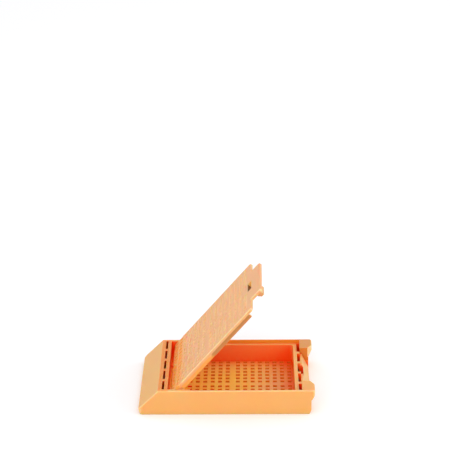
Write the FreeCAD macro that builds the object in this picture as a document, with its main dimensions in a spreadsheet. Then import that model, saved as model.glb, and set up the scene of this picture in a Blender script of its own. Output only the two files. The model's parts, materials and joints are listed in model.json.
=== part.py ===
import FreeCAD
import Part
import Sketcher
import math
import os

# Tissue cassette: a perforated basket with a 45 degree writing panel, and a hinged perforated lid.
# Frame: X along the cassette, writing panel at -X, latch at +X; Y across it; Z up.
# The origin is the middle of the base's underside.  The lid is drawn in its own frame, closed,
# with its origin on the hinge axis, and its Placement then opens it.

doc = FreeCAD.newDocument("tissue_cassette")
sheet = doc.addObject("Spreadsheet::Sheet", "sizes")

# ---------------------------------------------------------------- driving dimensions, millimetres

driving = {
    # whole cassette
    "length": 40.4,
    "width": 28.5,
    "base_height": 5.85,
    # base walls and floor
    "floor_thickness": 0.75,
    "rim_thickness": 0.5,        # side wall above the lid's seat
    "seat_depth": 0.85,          # from the rim down to the lid's seat
    "side_wall": 1.55,           # side wall below the seat
    "cheek_thickness": 1.0,      # side wall beside the hinge and the hollow ends
    "end_wall": 0.85,            # basket's wall at the latch end
    "basket_corner": 0.8,
    "writing_corner": 1.0,
    "ear_corner": 0.6,
    "foot_bevel": 0.45,          # lower edge of each end, along X
    "foot_rise": 0.95,           # and up
    "edge_round": 0.3,
    # writing panel and its drain slots
    "panel_run": 4.6,            # how far the slope runs along X
    "panel_foot": 1.35,          # upright strip below the slope
    "panel_wall": 1.4,           # wall behind the slope, measured level
    "deck_thickness": 1.0,       # plate that the slots go through
    "slot_setback": 0.82,        # from the top of the slope to the slots
    "slot_width": 0.5,
    "slot_web": 1.1,
    "slot_side": 1.05,           # from the outside to the first slot's end
    "crossbar_width": 0.8,
    "gutter_width": 0.7,         # slots at the latch end
    # ears, ramp and latch catch
    "ear_depth": 2.93,
    "ear_width": 5.3,
    "lip_overhang": 0.83,
    "lip_height": 2.4,
    "lip_bevel": 0.7,            # lower edge of the lip, along X
    "lip_rise": 1.1,             # and up
    "ear_bevel": 1.05,           # inner corner of each ear, along X
    "ear_bevel_side": 1.9,       # and across
    "ramp_drop": 0.55,           # from the lid's seat down to the top of the ramp
    "ramp_setback": 0.42,        # from the gutter slots to the top of the ramp
    "ramp_foot": 0.9,
    "ramp_wall": 0.9,            # wall behind the ramp, measured level
    "ear_hollow": 0.85,          # how far the hollow below each ear runs past the gutter
    "notch_reach": 1.35,         # how far the latch notch runs from the end wall
    "catch_depth": 0.4,          # undercut below the catch
    "catch_height": 0.65,        # thickness of the catch itself
    # hinge
    "hinge_offset": 3.48,        # from the crossbar to the axis
    "hinge_drop": 1.65,          # from the rim down to the axis
    "bay_reach": 1.67,           # from the axis to the end of the bay that the lid's root turns in
    "pin_radius": 0.8,
    "pin_length": 0.6,
    "pin_clearance": 0.05,
    "lug_radius": 1.25,
    "lug_thickness": 0.75,
    "block_height": 0.5,         # corner blocks, above the floor
    # perforations
    "hole_size": 0.95,
    "row_gap": 2.43,             # between the two groups of rows
    "column_gap": 2.52,          # between the two groups of columns
    "first_row": 0.95,           # from the latch end wall to the first row
    "last_row": 2.98,            # from the crossbar to the last row
    "outer_column": 0.76,        # from the basket's side wall to the outer column
    "latch_rows": 8,             # rows in each of the two groups
    "hinge_rows": 7,
    "columns": 7,                # on each side of the middle
    "block_rows": 2,             # rows and columns that each corner block takes up
    "block_columns": 2,
    "slots": 5,                  # drain slots in each of the two rows
    # cutting outlines
    "beyond": 1,                 # how far a cut starts outside the face it goes into
    "bite": 0.1,                 # how far a feature runs into what it joins
    # lid
    "plate_thickness": 0.65,
    "lid_round": 0.25,
    "lid_side_gap": 0.15,
    "seat_clearance": 0.05,
    "skirt_depth": 1.0,
    "skirt_inset": 0.5,
    "skirt_thickness": 0.5,
    "skirt_setback": 1.5,        # from the shoulder to the skirt's end
    "neck_end": 1.42,            # from the axis; the narrower root up to here turns between the cheeks
    "neck_gap": 0.1,
    "root_clearance": 0.52,      # from the corner blocks to the root of an upright lid
    "root_depth": 0.9,           # how far the root turns down below the plate
    "root_radius": 1.5,
    "shoulder_gap": 0.57,
    "shoulder_corner": 0.5,
    "tab_gap": 0.75,             # between the tab and each ear
    "tab_setback": 0.3,
    "tab_corner": 0.6,
    "window_width": 4.4,
    "window_length": 1.25,
    "collar_width": 0.3,         # thickened edge round the window, under the plate
    "collar_depth": 0.7,
    "finger_width": 4.2,
    "finger_thickness": 0.7,
    "finger_setback": 0.35,      # from the basket's end wall to the finger
    "finger_gap": 0.2,
    "barb_reach": 0.55,
    "barb_land": 0.15,
    "barb_height": 0.85,
    "catch_clearance": 0.1,
    "nub_radius": 0.55,
    "nub_height": 0.12,
    "open_angle": 49,
}

# sizes that follow from the ones above
derived = {
    "half_length": "length / 2",
    "half_width": "width / 2",
    "slope_top": "panel_run - half_length",
    "slot_start": "slope_top + slot_setback",
    "slot_end": "slot_start + slot_width",
    "basket_start": "slot_end + crossbar_width",
    "slot_length": "(width - 2 * slot_side - (slots - 1) * slot_web) / slots",
    "slot_pitch": "slot_length + slot_web",
    "ear_start": "half_length - ear_depth",
    "ear_inner": "half_width - ear_width",
    "end_face": "half_length - lip_overhang",
    "gutter_start": "ear_start - gutter_width",
    "basket_end": "gutter_start - end_wall",
    "basket_half": "half_width - side_wall",
    "seat_half": "half_width - rim_thickness",
    "bay_half": "half_width - cheek_thickness",
    "seat_level": "base_height - seat_depth",
    "ramp_top": "seat_level - ramp_drop",
    "ramp_start": "ear_start + ramp_setback",
    "ramp_slope": "(end_face - ramp_start) / (ramp_top - ramp_foot)",
    "hinge_place": "basket_start + hinge_offset",
    "hinge_height": "base_height - hinge_drop",
    "bay_end": "hinge_place + bay_reach",
    "row_start": "basket_end - first_row",
    "row_end": "basket_start + last_row",
    "row_pitch": "(row_start - row_end - row_gap) / (latch_rows + hinge_rows - 2)",
    "second_rows": "row_start - (latch_rows - 1) * row_pitch - row_gap",
    "column_inner": "column_gap / 2",
    "column_outer": "basket_half - outer_column",
    "column_pitch": "(column_outer - column_inner) / (columns - 1)",
    "catch_under": "seat_level - catch_height",
    # the lid, measured from the hinge axis
    "skirt_foot": "seat_level + seat_clearance - hinge_height",
    "plate_under": "skirt_foot + skirt_depth",
    "plate_top": "plate_under + plate_thickness",
    "lid_half": "seat_half - lid_side_gap",
    "neck_half": "bay_half - neck_gap",
    "root_back": "floor_thickness + block_height + root_clearance - hinge_height",
    "shoulder": "ear_start - shoulder_gap - hinge_place",
    "tab_half": "ear_inner - tab_gap",
    "tab_end": "half_length - tab_setback - hinge_place",
    "skirt_outer": "lid_half - skirt_inset",
    "finger_back": "gutter_start + finger_setback - hinge_place",
    "finger_front": "finger_back + finger_thickness",
    "barb_top": "catch_under - catch_clearance - hinge_height",
    "finger_foot": "barb_top - barb_height",
    "nub_place": "second_rows + row_gap / 2 - hinge_place",
}


def fill_sheet():
    """One row a size: its name in column A, its value or formula in column B under that alias."""
    row = 0
    for name, value in driving.items():
        row += 1
        sheet.set(f"A{row}", name)
        sheet.set(f"B{row}", str(value))
        sheet.setAlias(f"B{row}", name)
    for name, formula in derived.items():
        row += 1
        sheet.set(f"A{row}", name)
        sheet.set(f"B{row}", "=" + formula)
        sheet.setAlias(f"B{row}", name)
    doc.recompute()


def bound(formula):
    """A formula in sheet names, as an expression that other objects can use."""
    words = []
    for word in formula.replace("(", "( ").replace(")", " )").split():
        known = word.lstrip("-") in driving or word.lstrip("-") in derived
        words.append(word.replace(word.lstrip("-"), "sizes." + word.lstrip("-")) if known else word)
    return " ".join(words)


def value(name):
    return float(sheet.get(name))


def count(name):
    return int(value(name))


def new_body(name):
    body = doc.addObject("PartDesign::Body", name)
    body.Label = name
    return body


def origin_part(body, role):
    return next(part for part in body.Origin.OriginFeatures if part.Role == role)


def new_sketch(body, name, plane, lift=None):
    sketch = body.newObject("Sketcher::SketchObject", name)
    sketch.AttachmentSupport = (origin_part(body, plane), "")
    sketch.MapMode = "FlatFace"
    if lift:
        sketch.setExpression("AttachmentOffset.Base.z", bound(lift))
    return sketch


def outline(body, name, plane, corners, lift=None):
    """A closed outline of straight lines: each corner is held by two bound distances."""
    sketch = new_sketch(body, name, plane, lift)
    add_loop(sketch, corners)
    return sketch


def add_loop(sketch, corners):
    first = sketch.GeometryCount
    held = sketch.ConstraintCount
    sides = len(corners)
    turns = [2 * math.pi * number / sides for number in range(sides)]
    points = [FreeCAD.Vector(math.cos(turn), math.sin(turn), 0) for turn in turns]
    sketch.addGeometry([Part.LineSegment(points[n], points[(n + 1) % sides]) for n in range(sides)])
    rules = [Sketcher.Constraint("Coincident", first + n, 2, first + (n + 1) % sides, 1)
             for n in range(sides)]
    for n, point in enumerate(points):
        rules.append(Sketcher.Constraint("DistanceX", -1, 1, first + n, 1, point.x))
        rules.append(Sketcher.Constraint("DistanceY", -1, 1, first + n, 1, point.y))
    sketch.addConstraint(rules)
    for n, (across, up) in enumerate(corners):
        sketch.setExpression(f"Constraints[{held + sides + 2 * n}]", bound(across))
        sketch.setExpression(f"Constraints[{held + sides + 2 * n + 1}]", bound(up))


def rectangle(left, right, low, high):
    return [(left, low), (right, low), (right, high), (left, high)]


def circle(body, name, plane, centre, radius, lift=None):
    sketch = new_sketch(body, name, plane, lift)
    sketch.addGeometry(Part.Circle(FreeCAD.Vector(1, 1, 0), FreeCAD.Vector(0, 0, 1), 1))
    sketch.addConstraint([
        Sketcher.Constraint("DistanceX", -1, 1, 0, 3, 1),
        Sketcher.Constraint("DistanceY", -1, 1, 0, 3, 1),
        Sketcher.Constraint("Radius", 0, 1),
    ])
    for number, formula in enumerate((*centre, radius)):
        sketch.setExpression(f"Constraints[{number}]", bound(formula))
    return sketch


def pad(body, name, sketch, length, symmetric=False, reverse=False):
    feature = body.newObject("PartDesign::Pad", name)
    feature.Profile = sketch
    feature.SideType = "Symmetric" if symmetric else "One side"
    feature.Reversed = reverse
    feature.setExpression("Length", bound(length))
    return settle(body, feature, +1)


def pocket(body, name, sketch, length, symmetric=False, reverse=False, refine=True):
    feature = body.newObject("PartDesign::Pocket", name)
    feature.Refine = refine
    feature.Profile = sketch
    feature.SideType = "Symmetric" if symmetric else "One side"
    feature.Reversed = reverse
    feature.setExpression("Length", bound(length))
    return settle(body, feature, -1)


def settle(body, feature, gain):
    """Recompute, and make sure that the feature added (gain +1) or removed (-1) material."""
    before = 0.0 if body.Shape.isNull() else body.Shape.Volume
    body.Tip = feature
    doc.recompute()
    change = feature.Shape.Volume - before
    if change * gain <= 1e-6:
        raise RuntimeError(f"{feature.Name} changed the volume by {change:.4f}")
    return feature


def fillet(body, name, base, radius, wanted):
    """Round the edges of base for which wanted(edge) is true."""
    names = [f"Edge{n}" for n, edge in enumerate(base.Shape.Edges, 1) if wanted(edge)]
    feature = body.newObject("PartDesign::Fillet", name)
    feature.Base = (base, names)
    feature.setExpression("Radius", bound(radius))
    body.Tip = feature
    doc.recompute()
    return feature


def near(first, second):
    return abs(first - second) < 1e-4


def upright_at(edge, place, side):
    """True for a vertical edge at X = place and |Y| = side."""
    ends = [vertex.Point for vertex in edge.Vertexes]
    level = len(ends) == 2 and near(ends[0].x, ends[1].x) and near(ends[0].y, ends[1].y)
    return level and near(ends[0].x, place) and near(abs(ends[0].y), side)


def hole_field(body, name, row, rows, column, columns, lift, depth, reverse=False):
    """Square holes through a plate, in rows towards -X and columns outwards, on both sides of Y = 0."""
    half = "hole_size / 2"
    sketch = outline(body, name + "_square", "XY_Plane",
                     rectangle(f"{row} - {half}", f"{row} + {half}",
                               f"{column} - {half}", f"{column} + {half}"), lift)
    seed = pocket(body, name + "_seed", sketch, depth, reverse=reverse, refine=False)
    field = body.newObject("PartDesign::MultiTransform", name)
    field.Refine = False
    steps = []
    for axis, times, pitch in (("X_Axis", rows, "row_pitch"), ("Y_Axis", columns, "column_pitch")):
        step = body.newObject("PartDesign::LinearPattern", f"{name}_{axis}")
        step.Direction = (origin_part(body, axis), [""])
        step.Reversed = axis == "X_Axis"
        step.Mode = "Spacing"
        step.setExpression("Offset", bound(pitch))
        step.Occurrences = times
        steps.append(step)
    mirror = body.newObject("PartDesign::Mirrored", name + "_mirror")
    mirror.MirrorPlane = (origin_part(body, "XZ_Plane"), [""])
    field.Originals = [seed]
    field.Transformations = [*steps, mirror]
    return settle(body, field, -1)


def slot_row(body, name, start, end):
    """Drain slots in a row across the base, right through it."""
    sketch = new_sketch(body, name + "_outlines", "XY_Plane", "base_height")
    for number in range(count("slots")):
        low = f"slot_side + {number} * slot_pitch - half_width"
        high = f"slot_side + {number} * slot_pitch + slot_length - half_width"
        add_loop(sketch, rectangle(start, end, low, high))
    return pocket(body, name, sketch, "base_height")


def build_base():
    body = new_body("base")
    block = pad(body, "block", outline(body, "plan", "XY_Plane", rectangle(
        "-half_length", "half_length", "-half_width", "half_width")), "base_height")
    half_length, half_width = value("half_length"), value("half_width")
    block = fillet(body, "writing_corners", block, "writing_corner",
                   lambda edge: upright_at(edge, -half_length, half_width))
    block = fillet(body, "ear_corners", block, "ear_corner",
                   lambda edge: upright_at(edge, half_length, half_width))

    # writing panel: everything above the slope goes
    slope = outline(body, "slope_side", "XZ_Plane", [
        ("-half_length - beyond", "panel_foot - beyond * (base_height - panel_foot) / panel_run"),
        ("slope_top", "base_height"),
        ("slope_top", "base_height + beyond"),
        ("-half_length - beyond", "base_height + beyond")])
    block = pocket(body, "slope", slope, "2 * width", symmetric=True)
    foot = outline(body, "writing_foot_side", "XZ_Plane", [
        ("-half_length - beyond", "-beyond"), ("foot_bevel - half_length", "-beyond"),
        ("foot_bevel - half_length", "0"), ("-half_length", "foot_rise"),
        ("-half_length - beyond", "foot_rise")])
    block = pocket(body, "writing_foot", foot, "2 * width", symmetric=True)
    under_lip = "base_height - lip_height"
    setback = outline(body, "end_side", "XZ_Plane", [
        ("end_face - foot_bevel", "-beyond"), ("half_length + beyond", "-beyond"),
        ("half_length + beyond", f"{under_lip} + lip_rise"),
        ("half_length", f"{under_lip} + lip_rise"), ("half_length - lip_bevel", under_lip),
        ("end_face", under_lip), ("end_face", "foot_rise"), ("end_face - foot_bevel", "0")])
    block = pocket(body, "end_setback", setback, "2 * width", symmetric=True)

    # rounded outer edges along the rim and both sides of the slope
    top = value("base_height")
    end_inside = half_length - value("ear_corner")

    def outer_edge(edge):
        ends = [vertex.Point for vertex in edge.Vertexes]
        upper = all(near(end.z, top) and end.x > value("slope_top") - 1e-4 for end in ends)
        sloped = not near(ends[0].z, ends[1].z) and not near(ends[0].x, ends[1].x) \
            and all(near(abs(end.y), half_width) and end.x < value("slope_top") + 1e-4 for end in ends)
        across = near(ends[0].x, ends[1].x) and near(ends[0].x, value("slope_top"))
        return (upper and not across) or sloped

    fillet(body, "outer_round", block, "edge_round", outer_edge)

    # basket, the lid's seat around it, and the bay that the lid's root turns in
    basket = pocket(body, "basket", outline(body, "basket_plan", "XY_Plane", rectangle(
        "basket_start", "basket_end", "-basket_half", "basket_half"), "base_height"),
        "base_height - floor_thickness")
    fillet(body, "basket_corners", basket, "basket_corner",
           lambda edge: upright_at(edge, value("basket_end"), value("basket_half")))
    pocket(body, "seat", outline(body, "seat_plan", "XY_Plane", rectangle(
        "bay_end", "ear_start", "-seat_half", "seat_half"), "base_height"), "seat_depth")
    pocket(body, "hinge_bay", outline(body, "bay_plan", "XY_Plane", rectangle(
        "basket_start", "bay_end", "-bay_half", "bay_half"), "base_height"),
        "base_height - floor_thickness")

    # finger recess between the ears, with its ramp, and the hollow undersides of both ends
    recess = outline(body, "recess_side", "XZ_Plane", [
        ("ear_start", "base_height + beyond"), ("ear_start", "ramp_top"), ("ramp_start", "ramp_top"),
        ("end_face", "ramp_foot"), ("half_length + beyond", "ramp_foot"),
        ("half_length + beyond", "base_height + beyond")])
    pocket(body, "recess", recess, "2 * ear_inner", symmetric=True)
    bevels = new_sketch(body, "ear_bevel_plan", "XY_Plane", "base_height")
    for side in ("", "-1 * "):
        inner, outer = f"{side}ear_inner", f"{side}(ear_inner + ear_bevel_side)"
        add_loop(bevels, [("half_length - ear_bevel", inner), ("half_length + beyond", inner),
                          ("half_length + beyond", outer), ("half_length", outer)])
    pocket(body, "ear_bevels", bevels, "lip_height")
    ramp_foot = "end_face - ramp_wall"
    hollow = outline(body, "ramp_hollow_side", "XZ_Plane", [
        ("gutter_start", "-beyond"), (ramp_foot, "-beyond"), (ramp_foot, "0"),
        ("gutter_start", f"({ramp_foot} - gutter_start) / ramp_slope")])
    pocket(body, "ramp_hollow", hollow, "2 * ear_inner", symmetric=True)
    hollow = new_sketch(body, "ear_hollow_plan", "XY_Plane")
    hollow_end = "ear_start + ear_hollow"
    add_loop(hollow, rectangle("gutter_start", hollow_end, "ear_inner - bite", "bay_half"))
    add_loop(hollow, rectangle("gutter_start", hollow_end, "-bay_half", "bite - ear_inner"))
    pocket(body, "ear_hollows", hollow, "seat_level - deck_thickness", reverse=True)
    run = "panel_run / (base_height - panel_foot)"
    behind = outline(body, "panel_hollow_side", "XZ_Plane", [
        ("panel_wall - half_length", "-beyond"), ("slot_end", "-beyond"),
        ("slot_end", "base_height - deck_thickness"),
        (f"slope_top + panel_wall - deck_thickness * {run}", "base_height - deck_thickness"),
        ("panel_wall - half_length", "panel_foot")])
    pocket(body, "panel_hollow", behind, "2 * bay_half", symmetric=True)

    slot_row(body, "panel_slots", "slot_start", "slot_end")
    slot_row(body, "gutter_slots", "gutter_start", "ear_start")

    # latch: a notch for the lid's finger, and the undercut that its barb hooks into
    notch_half = "(finger_width / 2 + finger_gap)"
    pocket(body, "latch_notch", outline(body, "notch_plan", "XY_Plane", rectangle(
        "gutter_start", "gutter_start + notch_reach", f"-1 * {notch_half}", notch_half),
        "base_height"), "base_height + beyond")
    undercut = outline(body, "catch_side", "XZ_Plane", rectangle(
        "gutter_start - catch_depth", "gutter_start + bite", "-beyond", "catch_under"))
    pocket(body, "catch", undercut, f"2 * {notch_half}", symmetric=True)

    # hinge: corner blocks on the floor, and a blind socket in each cheek
    block_end = "second_rows - (hinge_rows - block_rows - 0.5) * row_pitch"
    block_side = "(column_outer - (block_columns - 0.5) * column_pitch)"
    blocks = new_sketch(body, "corner_block_plan", "XY_Plane", "floor_thickness")
    add_loop(blocks, rectangle("basket_start - bite", block_end, block_side, "bay_half + bite"))
    add_loop(blocks, rectangle("basket_start - bite", block_end, "-bay_half - bite", f"-1 * {block_side}"))
    pad(body, "corner_blocks", blocks, "block_height")
    pocket(body, "hinge_sockets", circle(body, "socket_side", "XZ_Plane", (
        "hinge_place", "hinge_height"), "pin_radius + pin_clearance"),
        "2 * (bay_half + pin_length)", symmetric=True)

    # floor perforations, none over the corner blocks
    floor = ("floor_thickness", "floor_thickness + beyond")
    columns, block_rows = count("columns"), count("block_rows")
    clear_rows, clear_columns = count("hinge_rows") - block_rows, columns - count("block_columns")
    hole_field(body, "latch_side_holes", "row_start", count("latch_rows"), "column_inner", columns, *floor)
    hole_field(body, "hinge_side_holes", "second_rows", clear_rows, "column_inner", columns, *floor)
    hole_field(body, "holes_between_blocks", f"second_rows - {clear_rows} * row_pitch", block_rows,
               "column_inner", clear_columns, *floor)
    return body


def build_lid():
    body = new_body("lid")
    # plan: tab, shoulders, full width, and the narrower root between the cheeks
    corners = [("root_back", "neck_half"), ("neck_end", "neck_half"), ("neck_end", "lid_half"),
               ("shoulder", "lid_half"), ("shoulder", "tab_half"), ("tab_end", "tab_half")]
    mirrored = [(along, f"-{across}") for along, across in reversed(corners)]
    plan = outline(body, "plan", "XY_Plane", corners + mirrored, "plate_under - root_depth")
    plate = pad(body, "plate_blank", plan, "plate_thickness + root_depth")
    plate = fillet(body, "tab_corners", plate, "tab_corner",
                   lambda edge: upright_at(edge, value("tab_end"), value("tab_half")))
    plate = fillet(body, "shoulder_corners", plate, "shoulder_corner",
                   lambda edge: upright_at(edge, value("shoulder"), value("lid_half")))
    under = outline(body, "under_side", "XZ_Plane", rectangle(
        "root_back + plate_thickness", "tab_end + beyond",
        "plate_under - root_depth - beyond", "plate_under"))
    plate = pocket(body, "under_plate", under, "2 * width", symmetric=True)

    def crease(edge, place, level):
        return all(near(vertex.Point.x, place) and near(vertex.Point.z, level)
                   for vertex in edge.Vertexes)

    root, top, thickness = value("root_back"), value("plate_top"), value("plate_thickness")
    plate = fillet(body, "root_curl", plate, "root_radius", lambda edge: crease(edge, root, top))
    plate = fillet(body, "root_inside", plate, "root_radius - plate_thickness",
                   lambda edge: crease(edge, root + thickness, top - thickness))

    def rim_edge(edge):
        ends = [vertex.Point for vertex in edge.Vertexes]
        return all(near(end.z, top) and end.x > value("neck_end") - 1e-4 for end in ends)

    fillet(body, "plate_round", plate, "lid_round", rim_edge)

    # skirts that rest on the base's seat, one along each side
    skirts = new_sketch(body, "skirt_plan", "XY_Plane", "plate_under")
    for inner, outer in (("skirt_outer - skirt_thickness", "skirt_outer"),
                         ("-skirt_outer", "skirt_thickness - skirt_outer")):
        add_loop(skirts, rectangle("neck_end", "shoulder - skirt_setback", inner, outer))
    pad(body, "skirts", skirts, "skirt_depth", reverse=True)

    # hinge: a round lug under each side of the root, with its pin
    for side in ("left", "right"):
        mirror = side == "right"
        sign = "" if mirror else "-"
        start = f"{sign}1 * (neck_half - lug_thickness)"
        face = f"{sign}1 * neck_half"
        arm = outline(body, f"{side}_arm_side", "XZ_Plane", rectangle(
            "-lug_radius", "lug_radius", "0", "plate_under + plate_thickness / 2"), start)
        pad(body, f"{side}_arm", arm, "lug_thickness", reverse=not mirror)
        eye = circle(body, f"{side}_lug_side", "XZ_Plane", ("0", "0"), "lug_radius", start)
        pad(body, f"{side}_lug", eye, "lug_thickness", reverse=not mirror)
        pin = circle(body, f"{side}_pin_side", "XZ_Plane", ("0", "0"), "pin_radius", face)
        pad(body, f"{side}_pin", pin, "pin_length", reverse=not mirror)

    # latch finger with its barb towards the basket, below the window that frees the barb
    finger = outline(body, "finger_side", "XZ_Plane", [
        ("finger_front", "plate_under + plate_thickness / 2"),
        ("finger_back", "plate_under + plate_thickness / 2"),
        ("finger_back", "barb_top"), ("finger_back - barb_reach", "barb_top"),
        ("finger_back - barb_reach", "barb_top - barb_land"), ("finger_back", "finger_foot"),
        ("finger_front", "finger_foot")])
    pad(body, "latch_finger", finger, "finger_width", symmetric=True)
    collar_half = "(window_width / 2 + collar_width)"
    pad(body, "window_collar", outline(body, "collar_plan", "XY_Plane", rectangle(
        "finger_back - window_length - collar_width", "finger_front", f"-1 * {collar_half}", collar_half),
        "plate_under"), "collar_depth", reverse=True)
    pocket(body, "window", outline(body, "window_plan", "XY_Plane", rectangle(
        "finger_back - window_length", "finger_back", "-window_width / 2", "window_width / 2"),
        "plate_top"), "plate_thickness + collar_depth")
    pad(body, "moulding_nub", circle(body, "nub_plan", "XY_Plane", ("nub_place", "0"),
                                     "nub_radius", "plate_top"), "nub_height")

    # perforations: the first row leaves out the two holes beside the window
    plate = ("plate_top", "plate_thickness")
    first = "row_start - hinge_place"
    columns = count("columns")
    hole_field(body, "first_row_holes", first, 1, "(column_inner + column_pitch)", columns - 1, *plate)
    hole_field(body, "latch_side_holes", f"{first} - row_pitch", count("latch_rows") - 1,
               "column_inner", columns, *plate)
    hole_field(body, "hinge_side_holes", "second_rows - hinge_place", count("hinge_rows"),
               "column_inner", columns, *plate)

    # open position, turned up about the hinge axis
    body.setExpression("Placement.Base.x", bound("hinge_place"))
    body.setExpression("Placement.Base.z", bound("hinge_height"))
    body.setExpression("Placement.Rotation.Axis.y", "-1")
    body.setExpression("Placement.Rotation.Axis.z", "0")
    body.setExpression("Placement.Rotation.Angle", bound("open_angle"))
    return body


fill_sheet()
bodies = [build_base(), build_lid()]
doc.recompute()

for item in doc.Objects:
    if "Invalid" in item.State or "Error" in item.State:
        raise RuntimeError(f"{item.Name} failed: {item.State}")
os.makedirs("parts", exist_ok=True)
for body in bodies:
    if body.Shape.isNull() or not body.Shape.isValid() or len(body.Shape.Solids) != 1:
        raise RuntimeError(f"{body.Label} isn't one valid solid")
    body.Shape.exportStep(f"parts/{body.Label}.step")
    box = body.Shape.BoundBox
    print(body.Label, round(body.Shape.Volume, 2), "mm3",
          [round(size, 3) for size in (box.XMin, box.XMax, box.YMin, box.YMax, box.ZMin, box.ZMax)])
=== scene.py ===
import json
import math

import bpy
from mathutils import Matrix, Vector


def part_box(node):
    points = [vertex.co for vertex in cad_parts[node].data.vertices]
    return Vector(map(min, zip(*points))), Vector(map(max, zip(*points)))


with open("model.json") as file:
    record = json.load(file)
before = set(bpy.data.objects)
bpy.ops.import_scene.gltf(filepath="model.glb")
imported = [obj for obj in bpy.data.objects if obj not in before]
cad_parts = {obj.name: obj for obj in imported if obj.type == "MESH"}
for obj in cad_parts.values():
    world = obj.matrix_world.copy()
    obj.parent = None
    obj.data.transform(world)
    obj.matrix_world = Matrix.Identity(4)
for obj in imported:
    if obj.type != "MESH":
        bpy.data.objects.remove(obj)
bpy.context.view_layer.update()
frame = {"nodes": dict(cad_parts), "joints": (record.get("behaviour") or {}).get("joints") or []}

# Tissue cassette in orange moulded acetal, standing open on a white table.
# Lengths are in metres; x runs along the cassette, the writing panel is at -x and the latch at +x.
# The near side is at -y and the far side at +y.

baseLow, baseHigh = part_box("base")
hinge = frame["joints"][0]
lidOpen = math.radians(-hinge["range_deg"][0])    # the hinge's lower limit is the closed lid
print("frame loaded:", ", ".join(sorted(frame["nodes"])))

# What the painted light and shade below is measured from; baseHigh is the base's far top corner at the
# latch end
panelTop = Vector((baseLow.x, 0, baseHigh.z))     # middle of the top, at the writing panel's end
latchTop = Vector((baseHigh.x, 0, baseHigh.z))    # and at the latch end
axle = Vector(hinge["pos_m"])

lengthwise, sideways, upwards = (1, 0, 0), (0, 1, 0), (0, 0, 1)
alongLid = (math.cos(lidOpen), 0, math.sin(lidOpen))


def linearColour(hexCode):
    # sRGB hex to the linear numbers that shader sockets take
    parts = [int(hexCode[place:place + 2], 16) / 255 for place in (1, 3, 5)]
    linear = [part / 12.92 if part <= 0.04045 else ((part + 0.055) / 1.055) ** 2.4 for part in parts]
    return [*linear, 1.0]


def addNode(tree, kind, settings=None, values=None, links=None):
    # settings are the node's own properties, values its sockets' constants, links its sockets' sources;
    # in a Mix node of colours the two colours are sockets 6 and 7, and the result is output 2
    node = tree.nodes.new(kind)
    for name, setting in (settings or {}).items():
        setattr(node, name, setting)
    for name, constant in (values or {}).items():
        node.inputs[name].default_value = constant
    for name, source in (links or {}).items():
        tree.links.new(source, node.inputs[name])
    return node


def newTree(owner):
    owner.use_nodes = True
    owner.node_tree.nodes.clear()
    return owner.node_tree


# Acetal (polyoxymethylene), injection moulded: waxy, semi-matte and a little see-through. Light that has
# crossed a wall or bounced about inside is red, and the hollows are painted deep with that light and
# shade; outer faces are pale.
acetal = {
    "colour": "#EEAF66",
    "paleColour": "#F0B770",      # where the pigment lies thinner
    "hollowLightAndShade": "#FB5602",    # painted red light and shade, deep inside the basket and in the slots
    "paintedEdgeHighlight": "#FFE2AE",      # painted highlight: rounded edges along the sides catch more light
    "paintedEdgeStrength": 0.6,
    "patchSize": 0.009,           # one drift of pigment
    "hollowReach": 0.020,         # a face with another this near begins to take the painted hollow colour
    "hollowRange": (0.30, 0.98),  # openness at which the face is fully deep, and fully outer, in colour
    "refraction": 1.48,
    "roughness": 0.42,
    "roughnessDrift": 0.05,       # up and down with the pigment
    "shine": 0.15,                # mirror reflection, 0.5 being the full amount
    "grainSize": 0.00022,         # spark-eroded grain is 0.03 mm; drawn coarser so that it shows
    "grainDepth": 0.000004,
    "grainStrength": 0.6,
    "edgeRadius": 0.00009,        # no moulded edge is quite sharp
    "lightDepth": 0.0009,         # how far red light travels inside
    "lightColour": (1.0, 0.30, 0.10),
    "insideLight": 0.8,           # share of the light that goes in and comes out elsewhere
    "throughColour": "#FF6A1A",   # of light that passes right through a wall
    "throughLight": 0.04,
}

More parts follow.
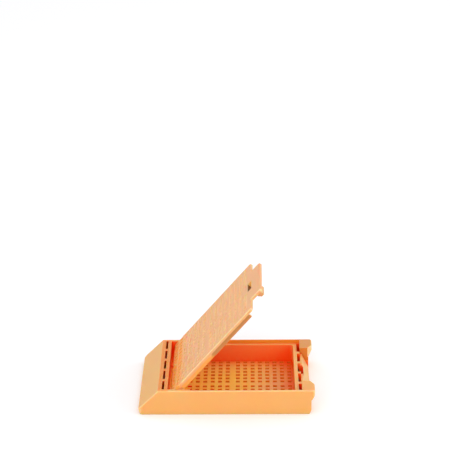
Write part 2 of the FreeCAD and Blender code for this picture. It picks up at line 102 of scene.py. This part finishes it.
# Painted light and shade laid over the plastic's own colour, as on the open cassette seen from the
# near side, so they suit other views and other light less well. Those of the thin floor, the far
# rim, the far ear and the near skirt are on one side only. Each is a box: the offset of its middle, its
# half size, how softly it ends as a share of that, the line along which its faces look,
# either way, the painted colour and how strongly it covers.
basePaintedLight = {
    # painted orange bounced light on the deck around the panel slots
    "slotted deck": {
        "from": panelTop, "offset": (0.0057, 0, -0.00005), "half": (0.0011, 0.0134, 0.0004), "soft": 0.15,
        "facing": upwards, "colour": "#FF9242", "cover": 0.7},
    # painted pool of light on the floor by the hinge, on the near side only
    "thin floor": {
        "from": axle, "offset": (0.0040, -0.0060, -0.00345), "half": (0.0070, 0.0080, 0.0003), "soft": 1.6,
        "facing": upwards, "colour": "#FFBA3E", "cover": 0.9},
    # painted shade on the walls of the floor holes
    "floor holes": {
        "from": axle, "offset": (0.0138, 0, -0.0039), "half": (0.0120, 0.0124, 0.0004), "soft": 0.02,
        "facing": sideways, "colour": "#E08C2A", "cover": 0.7},
    # painted shade on the far rim's inner band
    "far rim": {
        "from": baseHigh, "offset": (-0.0157, -0.00045, -0.00045), "half": (0.0130, 0.0002, 0.0004),
        "soft": 0.1, "facing": sideways, "colour": "#E09C2C", "cover": 0.8},
    # painted shade in the panel slots
    "panel slots": {
        "from": panelTop, "offset": (0.0057, 0, -0.00285), "half": (0.0004, 0.0134, 0.0027), "soft": 0.02,
        "facing": sideways, "colour": "#A4360C", "cover": 0.8},
    # painted light on the end wall's face
    "end wall": {
        "from": latchTop, "offset": (-0.0045, 0, -0.00305), "half": (0.0004, 0.0126, 0.0026), "soft": 0.1,
        "facing": lengthwise, "colour": "#FFA040", "cover": 0.5},
    # painted shade on the far ear's top
    "far ear": {
        "from": baseHigh, "offset": (-0.0015, -0.00275, -0.00005), "half": (0.0018, 0.0030, 0.0004),
        "soft": 0.1, "facing": upwards, "colour": "#D08C50", "cover": 0.6},
    # painted shade on the far ear's inner side
    "far ear, inner side": {
        "from": baseHigh, "offset": (-0.0015, -0.00535, -0.00145), "half": (0.0018, 0.0004, 0.0016),
        "soft": 0.1, "facing": sideways, "colour": "#D4822C", "cover": 0.8},
}

# The lid's plate is thin and perforated, so white light comes through it and its holes are painted pale.
# Its near skirt is in the plate's shade, and low down it takes orange light from the basket: both are
# painted below.
thinAcetal = {
    **acetal,
    "colour": "#E7AE77",
    "paleColour": "#E9B581",
    # on the thin plate the painted hollow colour is pale: painted light coming through the plate
    "hollowLightAndShade": "#FAD2A4",
    # painted highlight on the lid's rounded edges
    "paintedEdgeHighlight": "#FFE6B4",
    "paintedEdgeStrength": 0.8,
    "hollowReach": 0.0035,
    "hollowRange": (0.50, 0.96),
    "lightDepth": 0.0012,
    "insideLight": 0.9,
    "throughColour": "#FFC080",
}
lidPaintedLight = {
    # painted shade of the plate on the near skirt
    "near skirt": {
        "from": axle, "offset": (0.0125, -0.0129, 0.0159), "half": (0.0055, 0.0004, 0.0066), "soft": 0.1,
        "facing": sideways, "colour": "#C48C54", "cover": 1.0},
    # painted orange light from the basket, low on the near skirt
    "near skirt, low": {
        "from": axle, "offset": (0.0035, -0.0129, 0.0051), "half": (0.0036, 0.0004, 0.0042), "soft": 0.25,
        "facing": sideways, "colour": "#FCAA4C", "cover": 0.85},
    # painted orange light at the lid's root
    "root": {
        "from": axle, "offset": (-0.0022, 0, 0.0008), "half": (0.0010, 0.0140, 0.0024), "soft": 1.6,
        "facing": None, "colour": "#FFB058", "cover": 0.9},
    # painted light on the window's far wall
    "window, far side": {
        "from": axle, "offset": (0.0156, 0, 0.0213), "half": (0.0010, 0.0026, 0.0010), "soft": 0.1,
        "facing": sideways, "colour": "#FFCC6C", "cover": 0.9},
    # painted shade at the window's near end
    "window, near end": {
        "from": axle, "offset": (0.0156, 0, 0.0213), "half": (0.0010, 0.0026, 0.0010), "soft": 0.1,
        "facing": alongLid, "colour": "#7E5024", "cover": 0.9},
}
facingRange = (0.6, 0.9)    # how squarely a face looks a painted patch's way, where the patch starts and is full


def addPaintedLight(tree, place, below, paintedPatch):
    # lays one patch of painted light or shade over the colour below it, inside its box and on the faces
    # that look its way
    middle = paintedPatch["from"] + Vector(paintedPatch["offset"])
    offset = addNode(tree, "ShaderNodeVectorMath", {"operation": "SUBTRACT"},
                     {1: middle}, {0: place.outputs["Object"]})
    share = addNode(tree, "ShaderNodeVectorMath", {"operation": "DIVIDE"},
                    {1: paintedPatch["half"]}, {0: offset.outputs[0]})
    size = addNode(tree, "ShaderNodeVectorMath", {"operation": "ABSOLUTE"}, links={0: share.outputs[0]})
    parts = addNode(tree, "ShaderNodeSeparateXYZ", links={0: size.outputs[0]})
    across = addNode(tree, "ShaderNodeMath", {"operation": "MAXIMUM"},
                     links={0: parts.outputs["X"], 1: parts.outputs["Y"]})
    furthest = addNode(tree, "ShaderNodeMath", {"operation": "MAXIMUM"},
                       links={0: across.outputs[0], 1: parts.outputs["Z"]})
    inside = addNode(tree, "ShaderNodeMapRange", {"interpolation_type": "SMOOTHSTEP"},
                     {"From Min": 1.0, "From Max": 1.0 + paintedPatch["soft"],
                      "To Min": paintedPatch["cover"], "To Max": 0.0},
                     {"Value": furthest.outputs[0]})
    cover = inside
    if paintedPatch["facing"]:
        along = addNode(tree, "ShaderNodeVectorMath", {"operation": "DOT_PRODUCT"},
                        {1: paintedPatch["facing"]}, {0: place.outputs["Normal"]})
        turned = addNode(tree, "ShaderNodeMath", {"operation": "ABSOLUTE"},
                         links={0: along.outputs["Value"]})
        facing = addNode(tree, "ShaderNodeMapRange", None,
                         {"From Min": facingRange[0], "From Max": facingRange[1]},
                         {"Value": turned.outputs[0]})
        cover = addNode(tree, "ShaderNodeMath", {"operation": "MULTIPLY"},
                        links={0: inside.outputs[0], 1: facing.outputs[0]})
    paintedOver = addNode(tree, "ShaderNodeMix", {"data_type": "RGBA"},
                     {7: linearColour(paintedPatch["colour"])}, {0: cover.outputs[0], 6: below})
    return paintedOver.outputs[2]


def mouldedAcetal(name, choices, paintedPatches):
    material = bpy.data.materials.new(name)
    tree = newTree(material)
    place = addNode(tree, "ShaderNodeTexCoord")
    drift = addNode(tree, "ShaderNodeTexNoise", {"noise_dimensions": "3D"},
                    {"Scale": 1 / choices["patchSize"], "Detail": 3.0, "Roughness": 0.5},
                    {"Vector": place.outputs["Object"]})
    outer = addNode(tree, "ShaderNodeMix", {"data_type": "RGBA"},
                    {6: linearColour(choices["colour"]), 7: linearColour(choices["paleColour"])},
                    {0: drift.outputs["Fac"]})

    # painted highlight on rounded edges: between the faces that look sideways and the others, so the
    # normal's y times 1 - y, which is a quarter at most
    normal = addNode(tree, "ShaderNodeSeparateXYZ", links={0: place.outputs["Normal"]})
    side = addNode(tree, "ShaderNodeMath", {"operation": "ABSOLUTE"}, links={0: normal.outputs["Y"]})
    rest = addNode(tree, "ShaderNodeMath", {"operation": "SUBTRACT"}, {0: 1.0}, {1: side.outputs[0]})
    between = addNode(tree, "ShaderNodeMath", {"operation": "MULTIPLY"},
                      links={0: side.outputs[0], 1: rest.outputs[0]})
    highlight = addNode(tree, "ShaderNodeMath", {"operation": "MULTIPLY"},
                   {1: 4 * choices["paintedEdgeStrength"]}, {0: between.outputs[0]})
    highlighted = addNode(tree, "ShaderNodeMix", {"data_type": "RGBA"},
                    {7: linearColour(choices["paintedEdgeHighlight"])}, {0: highlight.outputs[0], 6: outer.outputs[2]})

    # painted light and shade in hollows: the less open a face is, the more of the hollow colour it takes
    openness = addNode(tree, "ShaderNodeAmbientOcclusion", {"samples": 12, "only_local": True},
                       {"Distance": choices["hollowReach"]})
    deepest, outermost = choices["hollowRange"]
    bright = addNode(tree, "ShaderNodeMapRange", {"interpolation_type": "SMOOTHSTEP"},
                     {"From Min": deepest, "From Max": outermost}, {"Value": openness.outputs["AO"]})
    deepened = addNode(tree, "ShaderNodeMix", {"data_type": "RGBA"},
                       {6: linearColour(choices["hollowLightAndShade"])},
                       {0: bright.outputs["Result"], 7: highlighted.outputs[2]})

    colour = deepened.outputs[2]
    for paintedPatch in paintedPatches.values():
        colour = addPaintedLight(tree, place, colour, paintedPatch)

    grain = addNode(tree, "ShaderNodeTexNoise", {"noise_dimensions": "3D"},
                    {"Scale": 1 / choices["grainSize"], "Detail": 2.0, "Roughness": 0.6},
                    {"Vector": place.outputs["Object"]})
    softEdge = addNode(tree, "ShaderNodeBevel", {"samples": 6}, {"Radius": choices["edgeRadius"]})
    relief = addNode(tree, "ShaderNodeBump", None,
                     {"Strength": choices["grainStrength"], "Distance": choices["grainDepth"]},
                     {"Height": grain.outputs["Fac"], "Normal": softEdge.outputs["Normal"]})
    finish = addNode(tree, "ShaderNodeMapRange", None,
                     {"To Min": choices["roughness"] - choices["roughnessDrift"],
                      "To Max": choices["roughness"] + choices["roughnessDrift"]},
                     {"Value": drift.outputs["Fac"]})
    surface = addNode(tree, "ShaderNodeBsdfPrincipled", {"subsurface_method": "RANDOM_WALK"},
                      {"IOR": choices["refraction"], "Specular IOR Level": choices["shine"],
                       "Subsurface Weight": choices["insideLight"],
                       "Subsurface Radius": choices["lightColour"],
                       "Subsurface Scale": choices["lightDepth"]},
                      {"Base Color": colour, "Roughness": finish.outputs["Result"],
                       "Normal": relief.outputs["Normal"]})
    through = addNode(tree, "ShaderNodeBsdfTranslucent", None,
                      {"Color": linearColour(choices["throughColour"])})
    both = addNode(tree, "ShaderNodeMixShader", None, {0: choices["throughLight"]},
                   {1: surface.outputs["BSDF"], 2: through.outputs["BSDF"]})
    addNode(tree, "ShaderNodeOutputMaterial", links={"Surface": both.outputs[0]})
    return material


def dress(node, material):
    node.data.materials.clear()
    node.data.materials.append(material)


dress(frame["nodes"]["base"], mouldedAcetal("moulded acetal, orange", acetal, basePaintedLight))
dress(frame["nodes"]["lid"], mouldedAcetal("moulded acetal, thin orange plate", thinAcetal, lidPaintedLight))
print("acetal on the base and the lid")


# White table and white surroundings: seen directly they are plain white, and the table keeps the shadow.
studio = {
    "tableColour": "#F4F4F4",
    "tableSeen": (1.06, 1.06, 1.08),    # as the camera sees it: past 1, so that only the shadow shows
    "tableSide": 4.0,
    "tableGap": 0.00002,                # keeps the table's face clear of the base's
    "paintedUnderLight": "#B8420E",           # painted orange light and shade on the table under the cassette, where light comes through the plastic
    "underReach": 0.010,
    "underRange": (0.05, 0.45),         # openness at which that colour is full, and gone
    "roomLight": 0.86,
    "lampSize": 0.45,
    "lamps": {                          # watts and place
        "right lamp": (1.1, (0.650, 0.0, 0.375)),
        "front lamp": (1.55, (-0.12, -0.68, 0.26)),
    },
}


def seenDirectly(tree):
    # 1 for camera, mirror and see-through rays
    path = addNode(tree, "ShaderNodeLightPath")
    shiny = addNode(tree, "ShaderNodeMath", {"operation": "MAXIMUM"},
                    links={0: path.outputs["Is Camera Ray"], 1: path.outputs["Is Glossy Ray"]})
    direct = addNode(tree, "ShaderNodeMath", {"operation": "MAXIMUM"},
                     links={0: shiny.outputs[0], 1: path.outputs["Is Transmission Ray"]})
    return direct.outputs[0]


def buildTable(choices):
    half = choices["tableSide"] / 2
    level = baseLow.z - choices["tableGap"]
    corners = [(-half, -half, level), (half, -half, level), (half, half, level), (-half, half, level)]
    mesh = bpy.data.meshes.new("table")
    mesh.from_pydata(corners, [], [(0, 1, 2, 3)])
    table = bpy.data.objects.new("table", mesh)
    bpy.context.scene.collection.objects.link(table)
    material = bpy.data.materials.new("white laminate")
    tree = newTree(material)
    openness = addNode(tree, "ShaderNodeAmbientOcclusion", {"samples": 12},
                       {"Distance": choices["underReach"]})
    under, outside = choices["underRange"]
    clear = addNode(tree, "ShaderNodeMapRange", None, {"From Min": under, "From Max": outside},
                    {"Value": openness.outputs["AO"]})
    shown = addNode(tree, "ShaderNodeMix", {"data_type": "RGBA"},
                    {6: linearColour(choices["paintedUnderLight"]), 7: [*choices["tableSeen"], 1.0]},
                    {0: clear.outputs["Result"]})
    colour = addNode(tree, "ShaderNodeMix", {"data_type": "RGBA"},
                     {6: linearColour(choices["tableColour"])},
                     {0: seenDirectly(tree), 7: shown.outputs[2]})
    paint = addNode(tree, "ShaderNodeBsdfDiffuse", links={"Color": colour.outputs[2]})
    addNode(tree, "ShaderNodeOutputMaterial", links={"Surface": paint.outputs[0]})
    mesh.materials.append(material)


def buildRoom(choices):
    room = bpy.data.worlds.new("white room")
    bpy.context.scene.world = room
    tree = newTree(room)
    white = (1, 1, 1, 1)
    soft = addNode(tree, "ShaderNodeBackground", None, {"Color": white, "Strength": choices["roomLight"]})
    plain = addNode(tree, "ShaderNodeBackground", None, {"Color": white, "Strength": 1.0})
    shown = addNode(tree, "ShaderNodeMixShader",
                    links={0: seenDirectly(tree), 1: soft.outputs[0], 2: plain.outputs[0]})
    addNode(tree, "ShaderNodeOutputWorld", links={"Surface": shown.outputs[0]})


def softLamp(name, power, size, place):
    # a square lamp that points at the cassette, which stands at the origin
    lamp = bpy.data.lights.new(name, "AREA")
    lamp.energy, lamp.size = power, size
    holder = bpy.data.objects.new(name, lamp)
    holder.location = place
    holder.rotation_euler = (-Vector(place)).to_track_quat("-Z", "Y").to_euler()
    bpy.context.scene.collection.objects.link(holder)


buildTable(studio)
buildRoom(studio)
for lampName, (power, place) in studio["lamps"].items():
    softLamp(lampName, power, studio["lampSize"], place)
print("table, room and lamps ready")


# The camera stands on the near side, about a degree round to the right, and looks 21 degrees down. It
# aims above the cassette, which so stands low in the picture.
camera = {
    "turn": 0.904,         # degrees round to the right
    "rise": 20.732,        # degrees above the table
    "roll": 0.600,         # degrees clockwise
    "distance": 0.40689,
    "aim": (-0.000137, 0.0, 0.040839),
    "lens": 142.83,        # millimetres
    "sensor": 36,
    "clip": (0.01, 10),
}


def buildCamera(choices):
    turn, rise, roll = (math.radians(choices[name]) for name in ("turn", "rise", "roll"))
    back = Vector((math.sin(turn) * math.cos(rise), -math.cos(turn) * math.cos(rise), math.sin(rise)))
    right = Vector((math.cos(turn), math.sin(turn), 0))
    up = back.cross(right)
    across = right * math.cos(roll) - up * math.sin(roll)
    upright = right * math.sin(roll) + up * math.cos(roll)
    lens = bpy.data.cameras.new("camera")
    lens.lens, lens.sensor_width = choices["lens"], choices["sensor"]
    lens.clip_start, lens.clip_end = choices["clip"]
    viewer = bpy.data.objects.new("camera", lens)
    stand = Matrix((across, upright, back)).transposed().to_4x4()
    stand.translation = Vector(choices["aim"]) + back * choices["distance"]
    viewer.matrix_world = stand
    bpy.context.scene.collection.objects.link(viewer)
    bpy.context.scene.camera = viewer


buildCamera(camera)
bpy.context.scene.view_settings.view_transform = "Standard"
bpy.context.scene.cycles.diffuse_bounces = 10    # light bounces many times about the basket
